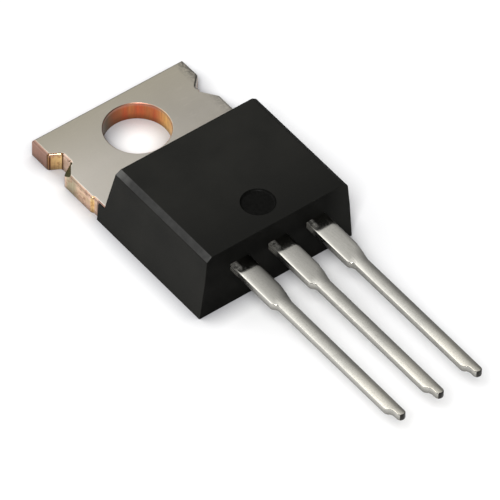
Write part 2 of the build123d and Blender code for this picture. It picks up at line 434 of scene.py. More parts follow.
def finish_piece(piece, slot, *nodes):
    """Puts a finished piece on the frame, in place of the solids that it stands for."""
    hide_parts(*nodes)
    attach(piece, "root")


def tint(base, factors):
    """A colour with each part scaled by its own factor."""
    return tuple(min(1.0, part * factor) for part, factor in zip(base[:3], factors))


def shade(base, factor):
    """A colour made lighter or darker."""
    return tint(base, (factor,) * 3)


class Nodes:
    """The nodes of a material or of the world, made one by one."""

    def __init__(self, tree):
        self.tree = tree

    def set(self, socket, value):
        """Gives an input a value, or links it to an output."""
        if isinstance(value, bpy.types.NodeSocket):
            self.tree.links.new(value, socket)
        elif socket.type == "RGBA":
            socket.default_value = (*value[:3], 1.0)
        else:
            socket.default_value = value

    def node(self, kind, inputs=None, **options):
        """Adds a node with its options and its inputs, as values or as other nodes' outputs."""
        made = self.tree.nodes.new("ShaderNode" + kind)
        for name, value in options.items():
            setattr(made, name, value)
        for name, value in (inputs or {}).items():
            self.set(made.inputs[name], value)
        return made

    def math(self, operation, *values):
        """One step of arithmetic on plain values."""
        return self.node("Math", dict(enumerate(values)), operation=operation).outputs[0]

    def multiply(self, product, *factors):
        """Product of two or more values."""
        for factor in factors:
            product = self.math("MULTIPLY", product, factor)
        return product

    def spread(self, value, low, high, to_low=0.0, to_high=1.0, **options):
        """Maps a value from one range to another, and holds it within that."""
        ends = {"From Min": low, "From Max": high, "To Min": to_low, "To Max": to_high}
        return self.node("MapRange", {"Value": value, **ends}, **options).outputs["Result"]

    def mix(self, share, first, second):
        """Mixes two colours."""
        return self.node("Mix", {0: share, 6: first, 7: second}, data_type="RGBA").outputs[2]

    def cover(self, body, colour, *ranges):
        """Covers a colour with another, as far as each value has got along its range.

        Each range is what spread takes: a value, the range's two ends and what they stand for.
        """
        return self.mix(self.multiply(*(self.spread(*each) for each in ranges)), body, colour)

    def between(self, noise, low, high):
        """A value between these two, as a noise has it."""
        return self.spread(noise, NOISE_LOW, NOISE_HIGH, low, high)

    def mottle(self, noise, base, dark, light, low=NOISE_LOW, high=NOISE_HIGH):
        """A colour from darker to lighter, as a noise goes from low to high."""
        return self.cover(shade(base, dark), shade(base, light), (noise, low, high))


class Material(Nodes):
    """A material with one principled shader, which reads places on the object in millimetres."""

    def __init__(self, name, metallic=0.0, specular=0.5):
        self.material = bpy.data.materials.new(name)
        self.material.use_nodes = True
        super().__init__(self.material.node_tree)
        self.inputs = self.tree.nodes["Principled BSDF"].inputs
        self.inputs["Metallic"].default_value = metallic
        self.inputs["Specular IOR Level"].default_value = specular
        place = self.node("TexCoord").outputs["Object"]
        scaled = self.node("VectorMath", {0: place}, operation="SCALE")
        scaled.inputs["Scale"].default_value = 1 / MM
        self.place = scaled.outputs[0]

    def axis(self, name):
        """One coordinate of the place, in millimetres."""
        return self.node("SeparateXYZ", {"Vector": self.place}).outputs[name]

    def across_lead(self):
        """The place across a lead, from its middle, which is the same for all three leads."""
        return self.math("WRAP", self.axis("X"), HALF_PITCH, -HALF_PITCH)

    def noise(self, scale, detail=3.0, roughness=0.5, stretch=None):
        """Cloudy noise, with about this many patches to the millimetre, or stretched to streaks."""
        place = self.place
        if stretch:
            place = self.node("Mapping", {"Vector": place, "Scale": stretch}).outputs["Vector"]
        return self.node("TexNoise", {
            "Vector": place, "Scale": scale, "Detail": detail, "Roughness": roughness,
        }).outputs["Fac"]

    def bump(self, height, micrometres, below=None):
        """Relief of this height, on top of another relief if one is given."""
        made = self.node("Bump", {
            "Height": height, "Strength": 1.0, "Distance": micrometres * MM * MM,
        })
        if below is not None:
            self.set(made.inputs["Normal"], below)
        return made.outputs["Normal"]

    def wear(self, colour, roughness, normal=None):
        """Connects the finished colour, roughness and relief to the shader."""
        for name, value in (("Base Color", colour), ("Roughness", roughness), ("Normal", normal)):
            if value is not None:
                self.set(self.inputs[name], value)
        return self.material


def plating_material(base):
    """Matt plating of the tab: a fine grain, faint clouds and a few short rubs, with painted light
    that makes it lighter at the left and darker at the right.
    """
    made = Material("matt_plating", metallic=1.0)
    across, along = made.axis("X"), made.axis("Y")
    clouds = made.spread(made.noise(0.55), NOISE_LOW, NOISE_HIGH)
    grain = made.noise(22.0)
    rubs_and_sheen = made.noise(3.0, detail=4.0, stretch=(0.35, 2.2, 1.0))
    specks = made.noise(7.0, detail=4.0, roughness=0.7)
    # Painted light: lighter towards the tab's left and darker towards its right, as the light falls
    # across it.
    left = made.mix(clouds, tint(base, (1.04, 1.05, 1.07)), tint(base, (1.09, 1.09, 1.10)))
    right = made.mix(clouds, shade(base, 0.71), shade(base, 0.78))
    body = made.cover(left, right, (across, -5.0, 3.0))
    body = made.cover(body, tint(base, (0.77, 0.76, 0.70)), (along, -1.0, 2.7))
    body = made.cover(
        body, shade(base, 0.33),
        (across, 4.35, 4.85), (specks, 0.40, 0.55), (along, 0.0, 1.5, 0.45, 1.0),
    )
    body = made.cover(body, shade(base, 0.70), (grain, 0.62, 0.78, 0.0, 0.35))
    body = made.cover(body, shade(base, 1.15), (rubs_and_sheen, 0.60, 0.75, 0.0, 0.12))
    relief = made.bump(grain, 3.0, made.bump(rubs_and_sheen, 1.0))
    return made.wear(body, made.between(grain, 0.38, 0.50), relief)


def shaded_edge_material(base):
    """The plating on the tab's rolled edges that don't face left: painted shade, dark and mottled.
    """
    made = Material("shaded_edge_plating", metallic=1.0)
    grain = made.noise(8.0)
    return made.wear(made.mottle(grain, base, 0.28, 0.50, 0.35, 0.65), 0.30, made.bump(grain, 4.0))


def sheared(made, body):
    """Sheared metal: fine lines down the cut, a rolled band above and a dark band towards the lower
    edge.
    """
    lines = made.noise(5.0, detail=4.0, roughness=0.65, stretch=(2.2, 2.2, 0.22))
    height = made.axis("Z")
    lower_band = (height, PLATE_THICKNESS * 0.35, 0.0, 0.0, 0.55)
    rolled = (height, PLATE_THICKNESS * 0.78, PLATE_THICKNESS * 0.95, 0.0, 0.5)
    body = made.cover(body, (0.20, 0.12, 0.07), (lines, 0.45, 0.72, 0.0, 0.35))
    body = made.cover(body, (0.14, 0.08, 0.045), lower_band)
    body = made.cover(body, (0.50, 0.33, 0.27), rolled)
    return made.wear(body, made.between(lines, 0.28, 0.42), made.bump(lines, 6.0))


def copper_material(name, base):
    """Bare copper of the sheared sides, whose tarnish changes along the part, with painted shade on
    the right side, at a notch corner and next to the body.
    """
    made = Material(name, metallic=1.0)
    across, along = made.axis("X"), made.axis("Y")
    patches = made.noise(0.9, detail=2.0)
    bands = made.noise(4.0, detail=2.0, stretch=(0.25, 0.25, 1.2))
    spots = made.noise(3.2, roughness=0.6)
    tone = base
    for colour, *ranges in (
        (tint(base, (0.90, 0.94, 0.82)), (patches, 0.40, 0.62)),
        (tint(base, (1.25, 1.30, 1.35)), (bands, 0.50, 0.66, 0.0, 0.6)),
        (tint(base, (1.05, 1.15, 1.20)), (along, -0.9, -0.2)),
        (tint(base, (0.39, 0.305, 0.29)), (along, 0.9, 1.3)),
        # Painted shade: the right-hand sides are darker.
        (tint(base, (0.25, 0.27, 0.35)), (across, 0.0, 1.0)),
        (tint(base, (0.60, 0.76, 0.66)), (along, -1.5, -1.1), (along, -0.3, -0.5)),
        # Painted shadow: near-black where the metal meets the moulding.
        ((0.05, 0.03, 0.02), (along, -2.96, -3.10)),
        (tint(base, (0.45, 0.28, 0.24)), (spots, 0.52, 0.64, 0.0, 0.6)),
        # Painted shade: a dark line at the convex corner where the left notch's outer flank meets
        # the side.
        ((0.10, 0.035, 0.012), (along, 0.90, 0.95), (along, 1.26, 1.24), (across, -4.92, -4.96)),
    ):
        tone = made.cover(tone, colour, *ranges)
    return sheared(made, tone)


def hole_material(base, gold):
    """Bare copper of the hole's wall, which runs from brown through orange to gold: partly its own
    tarnish, partly painted shade that browns its left and painted light that gilds its front.
    """
    made = Material("punched_copper", metallic=1.0)
    radius = HOLE_RADIUS / MM
    streaks = made.noise(1.4, detail=2.0, stretch=(1.0, 1.0, 0.25))
    brown, golden = tint(base, (0.20, 0.66, 0.80)), tint(gold, (0.92, 0.88, 0.62))
    body = made.cover(base, tint(gold, (0.46, 0.40, 0.30)), (streaks, 0.42, 0.62, 0.0, 0.45))
    # Partly painted shade: browner and darker towards the left.
    body = made.cover(body, brown, (made.axis("X"), radius * 0.40, -radius * 0.45))
    # Partly painted light: golden towards the front.
    body = made.cover(body, golden, (made.axis("Y"), radius * 0.40, -radius * 0.05))
    return sheared(made, body)


def resin_film(made, body):
    """A speckled film of resin on the metal beside the body, mostly on a lead's left."""
    specks = made.noise(4.0, detail=4.0, roughness=0.7)
    film = made.multiply(
        made.spread(made.axis("Y"), BODY_FRONT - 0.79, BODY_FRONT - 0.44),
        made.spread(made.across_lead(), -0.20, -0.56), made.spread(specks, 0.35, 0.65),
    )
    made.set(made.inputs["Metallic"], made.spread(film, 0.0, 1.0, 1.0, 0.25))
    return made.mix(film, body, (0.10, 0.096, 0.080))


def tin_material(base):
    """Bright tin of the leads: nearly a mirror, with faint lengthwise streaks and fine specks, and
    painted light and shade on the wide part, beside the body and near the tip.
    """
    made = Material("bright_tin", metallic=1.0)
    along = made.axis("Y")
    streaks = made.noise(7.0, roughness=0.6, stretch=(2.0, 0.18, 2.0))
    clouds = made.noise(1.6)
    specks = made.noise(11.0, roughness=0.7)
    grain = made.noise(30.0, detail=2.0)
    # Painted light and shade on each lead's wide part: bright at its left, dark at its right, most
    # on the leftmost lead.
    from_left = made.spread(made.across_lead(), -0.50, 0.65)
    shade_share = made.multiply(from_left, made.spread(made.axis("X"), -2.0, 2.0, 1.0, 0.40))
    wide_part_shading = made.mix(shade_share, shade(base, 1.20), shade(base, 0.22))
    body = made.cover(made.mottle(clouds, base, 0.93, 1.05), wide_part_shading, (along, -16.6, -15.9))
    # Painted reflection of the black body: darker on the left of each lead just outside the body.
    root = (along, BODY_FRONT - 0.99, BODY_FRONT - 0.69)
    body = made.cover(body, shade(base, 0.45), root, (from_left, 0.12, 0.0))
    # Painted highlight: lighter and warmer towards the tip.
    body = made.cover(body, tint(base, (1.24, 1.22, 1.18)), (along, -21.5, -23.5))
    dim = made.node("HueSaturation", {"Color": body, "Value": 0.78}).outputs["Color"]
    body = made.cover(body, dim, (streaks, 0.50, 0.75, 0.0, 0.45))
    body = made.cover(body, dim, (specks, 0.50, 0.66, 0.0, 0.55))
    roughness = made.spread(streaks, 0.3, 0.75, 0.08, 0.15)
    relief = made.bump(grain, 0.12, made.bump(streaks, 0.35, made.bump(clouds, 3.0)))
    return made.wear(resin_film(made, body), roughness, relief)


def side_material(name, base, upper):
    """A lead's sheared side: the same tin, rougher, with painted shade that darkens it towards the
    lower edge.
    """
    made = Material(name, metallic=1.0)
    streaks = made.noise(7.0, stretch=(2.0, 0.3, 2.0))
    low, high = GATE_LOW.z / MM, GATE_HIGH.z / MM - BRIGHT_BELOW
    body = made.mottle(made.axis("Z"), base, 0.20, upper, low, high)
    body = made.cover(body, shade(base, 0.30), (streaks, 0.45, 0.70, 0.0, 0.25))
    roughness = made.between(streaks, 0.22, 0.34)
    return made.wear(resin_film(made, body), roughness, made.bump(streaks, 1.5))


def cut_end_material(base):
    """Bare metal where a lead was sheared from its strip: dull, with lines down the cut."""
    made = Material("cut_end", metallic=1.0)
    lines = made.noise(9.0, stretch=(2.0, 1.0, 0.3))
    return made.wear(made.mottle(lines, base, 1.0, 2.2, 0.35, 0.7), 0.45, made.bump(lines, 4.0))


def moulded(made, body, scale=16.0, smoothest=0.50, relief=7.0):
    """Moulding compound of this colour, with the fine grain of the mould's wall."""
    grain = made.noise(scale, detail=4.0, roughness=0.6)
    roughness = made.between(grain, smoothest, smoothest + 0.14)
    return made.wear(body, roughness, made.bump(grain, relief))


def epoxy_material(base):
    """Black moulding compound with faint grey clouds and flecks, and painted shade towards the
    top's front.
    """
    made = Material("black_epoxy", specular=0.03)
    clouds = made.noise(0.45)
    flecks = made.noise(34.0, detail=2.0)
    lighter = tint(base, (1.12, 1.10, 1.08))
    body = made.cover(shade(base, 0.88), lighter, (clouds, NOISE_LOW, NOISE_HIGH))
    # Painted shade: the top is darker towards the front.
    upper_front = (made.axis("Z"), 4.0, 4.3), (made.axis("Y"), -8.0, -12.0)
    body = made.cover(body, shade(base, 0.62), *upper_front)
    return moulded(made, made.cover(body, shade(base, 2.6), (flecks, 0.66, 0.80, 0.0, 0.5)))


def bevel_material(base):
    """Painted highlight on the left upper edges: a lighter, glossier compound, lightest near their
    two ends.
    """
    made = Material("highlight_epoxy", specular=0.25)
    rubs_and_sheen = made.noise(2.5)
    body = made.mottle(rubs_and_sheen, base, 0.80, 1.25, 0.35, 0.65)
    for start, end, factor in ((-5.6, -4.4, 4.0), (-11.2, -12.2, 1.8)):
        near_end = (made.axis("Y"), start, end)
        body = made.cover(body, shade(base, factor), near_end, (rubs_and_sheen, 0.2, 0.6))
    return moulded(made, body, scale=12.0, smoothest=0.36, relief=5.0)


def front_material(base):
    """The same compound on the front, with little gloss and painted shade that makes it dark,
    darkest round the leads, and painted light that makes it lighter at its right end.
    """
    made = Material("shaded_front_epoxy", specular=0.01)
    dark = made.mottle(made.noise(0.8), base, 0.32, 0.46, 0.35, 0.65)
    return moulded(made, made.cover(dark, shade(base, 0.85), (made.axis("X"), 3.2, 4.4)))


def dimple_material(base):
    """The same compound against a polished pin: smoother and a little darker."""
    made = Material("polished_epoxy", specular=0.03)
    grain = made.noise(9.0)
    body = made.mottle(grain, base, 0.20, 0.32, 0.35, 0.65)
    return made.wear(body, made.between(grain, 0.30, 0.40), made.bump(grain, 1.5))


def plain_material(name, base, metallic, roughness):
    """A plain finish with a faint mottle."""
    made = Material(name, metallic)
    clouds = made.noise(3.0)
    body = made.mottle(clouds, base, 0.85, 1.1)
    return made.wear(body, made.between(clouds, roughness, roughness + 0.1))


def notch_places(tab):
    """Where a notch's floor starts and ends, and where the notch ends nearer the body."""
    floor_start = tab.notch_start - tab.outer_flank
    floor_end = floor_start - tab.notch_floor
    return floor_start, floor_end, floor_end - tab.inner_flank


def tab_block(tab):
    """Tab and plate, as one block whose sides are drawn out and then notched."""
    plate_half = tab.plate_width / 2
    low = (-plate_half, -tab.plate_end, 0)
    block = add_block("plated_drain_frame", low, (plate_half, FRAME_HIGH.y, TAB_TOP))
    floor_start, floor_end, notch_end = notch_places(tab)
    step_end = -tab.shoulder - tab.shoulder_step
    neck_half = FRAME_HIGH.x - tab.shoulder_step
    inner_x = FRAME_HIGH.x - tab.notch_depth
    with editing(block):
        cut_rings(ALONG, -tab.plate_start)
        for side in (LEFT, RIGHT):
            pick_faces(
                lambda middle, normal: normal.x * side > FACING and middle.y > -tab.plate_start
            )
            extrude(side * (neck_half - plate_half), 0, 0)
        dissolve_flat()
        cut_rings(ALONG, step_end, -tab.shoulder)
        cut_rings(ALONG, notch_end, floor_end, floor_start, tab.notch_start)
        for side in (LEFT, RIGHT):
            def on_side(at):
                return at.x * side > neck_half - NEAR

            move_points(
                lambda at: on_side(at) and at.y > step_end + NEAR, side * tab.shoulder_step, 0, 0
            )
            move_points(
                lambda at: on_side(at) and within(at.y, floor_end, floor_start),
                -side * tab.notch_depth, 0, 0,
            )
        for y, shift in (
            (floor_start, (0, tab.outer_flank - tab.right_flank, 0)),
            (floor_end, (tab.right_floor_rise, 0, 0)),
        ):
            move_points(lambda at: at.x > inner_x - NEAR and near(at.y, y), *shift)
        dissolve_flat()
        for low_y, high_y, width in (
            (step_end, -tab.shoulder, tab.step_crease),
            (notch_end, tab.notch_start, tab.crease),
        ):
            round_edges(
                lambda a, b: upright_edge(a, b) and within(a.y, low_y, high_y), width, segments=4
            )
    return block


def crush_corners(block, tab):
    """Presses down the upper edge at each notch's inner corner, where the press shears last."""
    floor_end, notch_end = notch_places(tab)[1:]
    half = FRAME_HIGH.x
    size = 1.15 * tab.notch_depth
    for side in (LEFT, RIGHT):
        corner = Vector((side * half, notch_end, TAB_TOP - tab.crush_depth))
        inner = Vector((side * (half - tab.notch_depth), floor_end, TAB_TOP))
        along = Vector((side * half, notch_end - tab.crush_length, TAB_TOP))
        normal = side * (inner - corner).cross(along - corner).normalized()
        knife = add_block("knife", (-size, -size, 0), (size, size, size))
        knife.rotation_euler = normal.to_track_quat("Z", "Y").to_euler()
        knife.location = (corner + inner + along) / 3
        select_piece(knife)
        bpy.ops.object.transform_apply(location=True, rotation=True, scale=True)
        combine(block, knife, "DIFFERENCE")


def roll_tab(block, tab):
    """Rounds the tab's upper edge, as the press leaves it, and breaks the lower one."""
    def on_corner(at):
        return near(FRAME_HIGH.x - abs(at.x), FRAME_HIGH.y - at.y) and at.y > HOLE_RADIUS

    with editing(block):
        for z, radius, segments in ((TAB_TOP, tab.edge_roll, 5), (0, tab.burr_radius, 2)):
            round_edges(
                lambda a, b: level_edge(a, b, z) and min(a.y, b.y) > -tab.plate_start - NEAR
                and max(a.y, b.y) > -tab.plate_start + NEAR,
                radius, segments, sharper=SHARP, keep_clear=False,
            )
        round_edges(lambda a, b: on_corner(a) and on_corner(b), tab.corner_radius, segments=3)


def coin_plate(block, tab):
    """Cuts the step round the plate's rear that locks the moulding to it."""
    inner, outer = tab.plate_width / 2 - tab.coined_width, tab.plate_width / 2 + BEYOND
    end, front, top = -tab.plate_end, -tab.plate_start - CLEAR, tab.coined_height
    cut_blocks(
        block,
        ((-outer, end - BEYOND, -BEYOND), (-inner, front, top)),
        ((inner, end - BEYOND, -BEYOND), (outer, front, top)),
        ((-outer, end - BEYOND, -BEYOND), (outer, end + tab.coined_width, top)),
    )


def punch_hole(block, tab):
    """Punches the mounting hole and rounds its upper rim."""
    punch = add_solid(
        "punch", bpy.ops.mesh.primitive_cylinder_add,
        vertices=HOLE_SIDES, radius=HOLE_RADIUS, depth=4 * TAB_TOP, location=(0, 0, TAB_TOP / 2),
    )
    combine(block, punch, "DIFFERENCE")

    def on_rim(place):
        return abs(place.xy.length - HOLE_RADIUS) < 10 * NEAR and near(place.z, TAB_TOP)

    with editing(block):
        round_edges(lambda a, b: on_rim(a) and on_rim(b), tab.hole_roll, segments=4)


def lead_places(lead):
    """Where a lead's shoulder ends and where its nib starts."""
    return -lead.shoulder - lead.shoulder_length, GATE_LOW.y + lead.nib_length


def lead_bar(name, centre_x, inner_y, lead, post=()):
    """A flat lead from its inner end to its tip, with a bond post if its two sides are given."""
    half = lead.wide / 2
    low = (centre_x - half, GATE_LOW.y, GATE_LOW.z)
    bar = add_block(name, low, (centre_x + half, inner_y, GATE_HIGH.z))
    narrow_y, nib_y = lead_places(lead)
    post_end = inner_y - lead.post_length

    def beside(at, side):
        return (at.x - centre_x) * side > 0

    with editing(bar):
        cut_rings(ALONG, -lead.shoulder, narrow_y, nib_y + lead.step_length, nib_y)
        widen_points(lambda at: at.y < narrow_y + NEAR, lead.narrow / lead.wide, centre_x)
        for side, y, shift in (
            (LEFT, narrow_y, lead.shoulder_length - lead.left_shoulder),
            (RIGHT, -lead.shoulder, lead.right_shoulder - lead.shoulder_length),
        ):
            move_points(lambda at: near(at.y, y) and beside(at, side), 0, shift, 0)
        move_points(lambda at: at.y < nib_y + NEAR and beside(at, LEFT), lead.step_width, 0, 0)
        if post:
            cut_rings(ALONG, post_end, post_end - lead.post_taper)
        for side, place in zip((LEFT, RIGHT), post):
            move_points(
                lambda at: at.y > post_end - NEAR and beside(at, side),
                place - centre_x - side * half, 0, 0,
            )
    return bar


def round_plan(bar, lead):
    """Rounds a lead's shoulder and the corners of its tip, as seen from above."""
    narrow_y, nib_y = lead_places(lead)
    with editing(bar):
        for low_y, high_y, radius in (
            (narrow_y, narrow_y + lead.right_shoulder, lead.shoulder_radius),
            (nib_y, nib_y + lead.step_length, lead.nib_radius),
            (GATE_LOW.y, GATE_LOW.y, lead.tip_radius),
        ):
            round_edges(
                lambda a, b: upright_edge(a, b) and within(a.y, low_y, high_y),
                radius, segments=4, sharper=BENT,
            )


def crown_lead(bar, centre_x, lead):
    """Crowns a lead's upper face outside the body and rounds its long edges and tip."""
    root_y = BODY_LOW.y + lead.root
    middle_z = (GATE_LOW.z + GATE_HIGH.z) / 2
    narrow_y = lead_places(lead)[0]
    margin_start = lead.wide / 2 - lead.margin

    def level(at):
        """The number of steps that a point falls by."""
        along = min(1, max(0, (at.y - narrow_y) / lead.shoulder_length))
        off = abs(at.x - centre_x)
        rounded = min(1, off / (lead.narrow / 2)) ** 2
        rolled = lead.margin_drop * max(0, off - margin_start) / lead.margin
        return round(((1 - along) * rounded + along * rolled / lead.crown) * CROWN_LEVELS)

    with editing(bar):
        cut_rings(ALONG, root_y, root_y - lead.root / 3)
        steps = range(-CROWN_RINGS, CROWN_RINGS + 1)
        offsets = [lead.narrow / 2 * step / (CROWN_RINGS + 1) for step in steps]
        cut_rings(ACROSS, *(centre_x + off for off in (-margin_start, *offsets, margin_start)))
        for step in range(1, CROWN_LEVELS + 1):
            move_points(
                lambda at: at.z > middle_z and level(at) == step,
                0, 0, -lead.crown * step / CROWN_LEVELS,
            )
        for way, radius, segments in ((1, lead.edge_radius, 5), (-1, lead.lower_radius, 3)):
            round_edges(
                lambda a, b: max(a.y, b.y) < root_y + NEAR
                and min((a.z - middle_z) * way, (b.z - middle_z) * way) > 0,
                radius, segments, sharper=SHARP,
            )


def lead_face(middle, normal):
    """The finish of a lead's face: cut at its tip, painted shade on its sides, darkest on the
    right, and bright elsewhere.
    """
    beside_tip = middle.y < GATE_LOW.y + 0.3 * MM
    if beside_tip and normal.y < -LEANING and normal.x > -0.75:
        return "end"
    if normal.x > 0.5:
        return "right side"
    return "left side" if abs(normal.z) < LEANING else "tin"


def lead_finishes(lead):
    """The materials that lead_face names."""
    return {
        "tin": tin_material(lead.tin),
        "left side": side_material("sheared_tin", lead.tin, 0.64),
        # Painted shade: the right sides are a darker copy of the left sides.
        "right side": side_material("shaded_right_side_tin", lead.tin, 0.35),
        "end": cut_end_material(lead.cut_end),
    }


def neck_places(lead, tab):
    """Where the neck's rise ends, and where its lower and its upper bend meet the level parts."""
    rise_y = -tab.plate_end - lead.neck_level
    tangent = lead.neck_radius * math.tan(lead.neck_slope / 2)
    run = (GATE_HIGH.z - TAB_TOP) / math.tan(lead.neck_slope)
    return rise_y, rise_y + tangent, rise_y - run - tangent


def bend_neck(bar, lead, tab):
    """Carries the drain lead's inner end down to the plate, by two bends."""
    half = (GATE_HIGH.z - GATE_LOW.z) / 2
    rise_y, lower_y, upper_y = neck_places(lead, tab)
    slope = (GATE_HIGH.z - TAB_TOP) / math.sin(lead.neck_slope) - 2 * (lower_y - rise_y)
    with editing(bar):
        pick_faces(lambda middle, normal: normal.y > FACING)
        bend(-lead.neck_slope, upper_y, GATE_HIGH.z - half - lead.neck_radius)
        extrude(0, slope * math.cos(lead.neck_slope), -slope * math.sin(lead.neck_slope))
        bend(lead.neck_slope, lower_y, TAB_TOP - half + lead.neck_radius)
        extrude(0, -tab.plate_end + lead.neck_overlap - lower_y, 0)
        cut_rings(ALONG, rise_y, rise_y - lead.neck_taper)
        widen_points(lambda at: at.y > rise_y - NEAR, lead.neck_width / lead.wide)
    tidy_mesh(bar)


class TRANSISTOR_OT_drain_frame(bpy.types.Operator):
    """Builds the tab, the plate, the neck and the middle lead, which are one piece of copper"""

    bl_idname = "transistor.drain_frame"
    bl_label = "Drain Frame"

    def execute(self, context):
        tab, lead = context.scene.transistor_tab, context.scene.transistor_leads
        block = tab_block(tab)
        for shape in (roll_tab, crush_corners, coin_plate, punch_hole):
            shape(block, tab)
        bar = lead_bar("drain_bar", 0, neck_places(lead, tab)[2], lead)
        bend_neck(bar, lead, tab)
        round_plan(bar, lead)
        crown_lead(bar, 0, lead)
        combine(block, bar, "UNION")
        smooth_piece(block)
        hole_edge = HOLE_RADIUS + tab.hole_roll + NEAR

        def choose(middle, normal):
            if middle.y < -tab.plate_end - NEAR:
                return lead_face(middle, normal)
            if abs(normal.z) > LEVEL:
                return "plating"
            if middle.xy.length < hole_edge:
                return "hole"
            beside_corner = abs(middle.y) < 1.2 * MM
            if beside_corner and min(normal.y, normal.z) > LEANING:
                return "crushed"
            # Rolled edges that don't face left get the painted-shade plating.
            if normal.z > ROUNDED and normal.x > -LEANING * normal.xy.length:
                return "edge"
            to_leads = normal.y < -0.12
            in_notch = middle.y > -tab.shoulder + tab.notch_depth
            # Creases in a notch get the painted-shade copper.
            if to_leads and in_notch and normal.y > -0.45:
                return "crease"
            return "gold" if to_leads else "copper"

        dress(block, {
            "plating": plating_material(tab.plating),
            "copper": copper_material("sheared_copper", tab.copper),
            "gold": copper_material("fresh_copper", tab.gold),
            "crease": plain_material("shaded_crease_copper", tab.shaded_crease_copper, 1.0, 0.40),
            "crushed": plain_material("crushed_copper", tab.crushed_copper, 1.0, 0.45),
            "edge": shaded_edge_material(tab.plating),
            "hole": hole_material(tab.hole_copper, tab.gold),
            **lead_finishes(lead),
        }, choose)
        finish_piece(block, "tinned_copper", "drain_frame")
        return {"FINISHED"}


class TRANSISTOR_OT_outer_leads(bpy.types.Operator):
    """Builds the gate lead and the source lead, each with its bond post"""

    bl_idname = "transistor.outer_leads"
    bl_label = "Outer Leads"

    def execute(self, context):
        lead = context.scene.transistor_leads
        for side, node, low, high in (
            (LEFT, "gate_lead", GATE_LOW, GATE_HIGH),
            (RIGHT, "source_lead", SOURCE_LOW, SOURCE_HIGH),
        ):
            centre_x = side * lead.pitch
            bar = lead_bar("tinned_" + node, centre_x, high.y, lead, (low.x, high.x))
            round_plan(bar, lead)
            crown_lead(bar, centre_x, lead)
            tidy_mesh(bar)
            smooth_piece(bar)
            dress(bar, lead_finishes(lead), lead_face)
            finish_piece(bar, "tinned_copper", node)
        return {"FINISHED"}


def body_block(body):
    """The moulding's outer form, with its drafts, its bevels and the skirt beside the tab."""
    block = add_block("epoxy_body", BODY_LOW, (BODY_HIGH.x, -body.rear, BODY_HIGH.z))
    skirt_z, bevel_z = TAB_TOP - body.seat, BODY_HIGH.z - body.bevel_height
    below, above = body.parting - body.flash_height, body.parting + body.flash_height
    base = BODY_HIGH.x

    def half_width(z):
        return base - z * math.tan(body.side_draft)

    with editing(block):
        rings = (skirt_z, below, body.parting, above, bevel_z)
        cut_rings(UP, *rings)
        pick_faces(lambda middle, normal: normal.y > FACING and middle.z < skirt_z)
        extrude(0, body.rear + BODY_HIGH.y, 0)
        for z in rings:
            widen_points(lambda at: near(at.z, z), half_width(z) / base)
        top_half = half_width(bevel_z) - body.bevel_width
        widen_points(lambda at: at.z > bevel_z + NEAR, top_half / base)
        for z in (*rings[1:], BODY_HIGH.z):
            lean = -(z - TAB_TOP) * math.tan(body.rear_draft)
            move_points(lambda at: near(at.z, z) and at.y > -body.rear - NEAR, 0, lean, 0)
        for z in (0, skirt_z, below, above, bevel_z, BODY_HIGH.z):
            lean = abs(z - body.parting) * math.tan(body.front_draft) + body.flash
            move_points(lambda at: near(at.z, z) and at.y < BODY_LOW.y + NEAR, 0, lean, 0)
    tidy_mesh(block)
    return block


def press_dimple(block, body):
    """Presses the round dimple into the top."""
    rim, slope = body.dimple_diameter / 2, body.dimple_wall
    pin = add_solid(
        "pin", bpy.ops.mesh.primitive_cone_add,
        vertices=DIMPLE_SIDES, radius1=rim - slope, radius2=rim + slope,
        depth=2 * body.dimple_depth, location=(0, -body.dimple_place, BODY_HIGH.z),
    )
    floor_z = BODY_HIGH.z - body.dimple_depth
    with editing(pin):
        round_edges(lambda a, b: level_edge(a, b, floor_z), body.dimple_depth / 2, segments=3)
    combine(block, pin, "DIFFERENCE")


def seat_tab(block, tab):
    """Leaves room in the moulding for the tab and the plate with its coined step."""
    half, plate_half = FRAME_HIGH.x - tab.shoulder_step, tab.plate_width / 2
    rear_half, rear_end = plate_half - tab.coined_width, -tab.plate_end + tab.coined_width
    cut_blocks(
        block,
        ((-half, -tab.plate_start, -BEYOND), (half, 0, TAB_TOP)),
        ((-plate_half, -tab.plate_end, tab.coined_height), (plate_half, 0, TAB_TOP)),
        ((-rear_half, rear_end, -BEYOND), (rear_half, 0, TAB_TOP)),
    )


class TRANSISTOR_OT_moulded_body(bpy.types.Operator):
    """Builds the black moulding round the frame and the leads"""

    bl_idname = "transistor.moulded_body"
    bl_label = "Moulded Body"

    def execute(self, context):
        body, tab = context.scene.transistor_body, context.scene.transistor_tab
        block = body_block(body)
        with editing(block):
            round_edges(
                lambda a, b: max(a.z, b.z) > TAB_TOP - body.seat + NEAR
                or abs(a.z - b.z) > MM and max(a.y, b.y) < -body.rear - MM,
                body.edge_radius, segments=3, sharper=BENT,
            )
        press_dimple(block, body)
        seat_tab(block, tab)
        smooth_piece(block)
        dimple = Vector((0, -body.dimple_place))
        pin_z = BODY_HIGH.z - body.dimple_depth / 5
        bevel_z = BODY_HIGH.z - body.bevel_height

        def choose(middle, normal):
            if abs(middle.z - body.parting) < body.flash_height and normal.y < -LEANING:
                return "line"
            if normal.y < -FACING:
                return "front"
            if (middle.xy - dimple).length < body.dimple_diameter / 2 and middle.z < pin_z:
                return "polished"
            # Rounded upper edges: painted highlight on the left ones, painted shade from the
            # front's compound on the right ones.
            rounded = min(abs(normal.x), normal.z) > ROUNDED and normal.z < LEVEL
            if rounded and middle.z > bevel_z:
                return "highlighted_bevel" if normal.x < 0 else "front"
            return "epoxy"

        dress(block, {
            "epoxy": epoxy_material(body.epoxy),
            "front": front_material(body.epoxy),
            "highlighted_bevel": bevel_material(body.highlight_epoxy),
            "line": plain_material("parting_line", shade(body.highlight_epoxy, 2.2), 0.0, 0.6),
            "polished": dimple_material(body.epoxy),
        }, choose)
        finish_piece(block, "black_epoxy", "moulded_body")
        return {"FINISHED"}


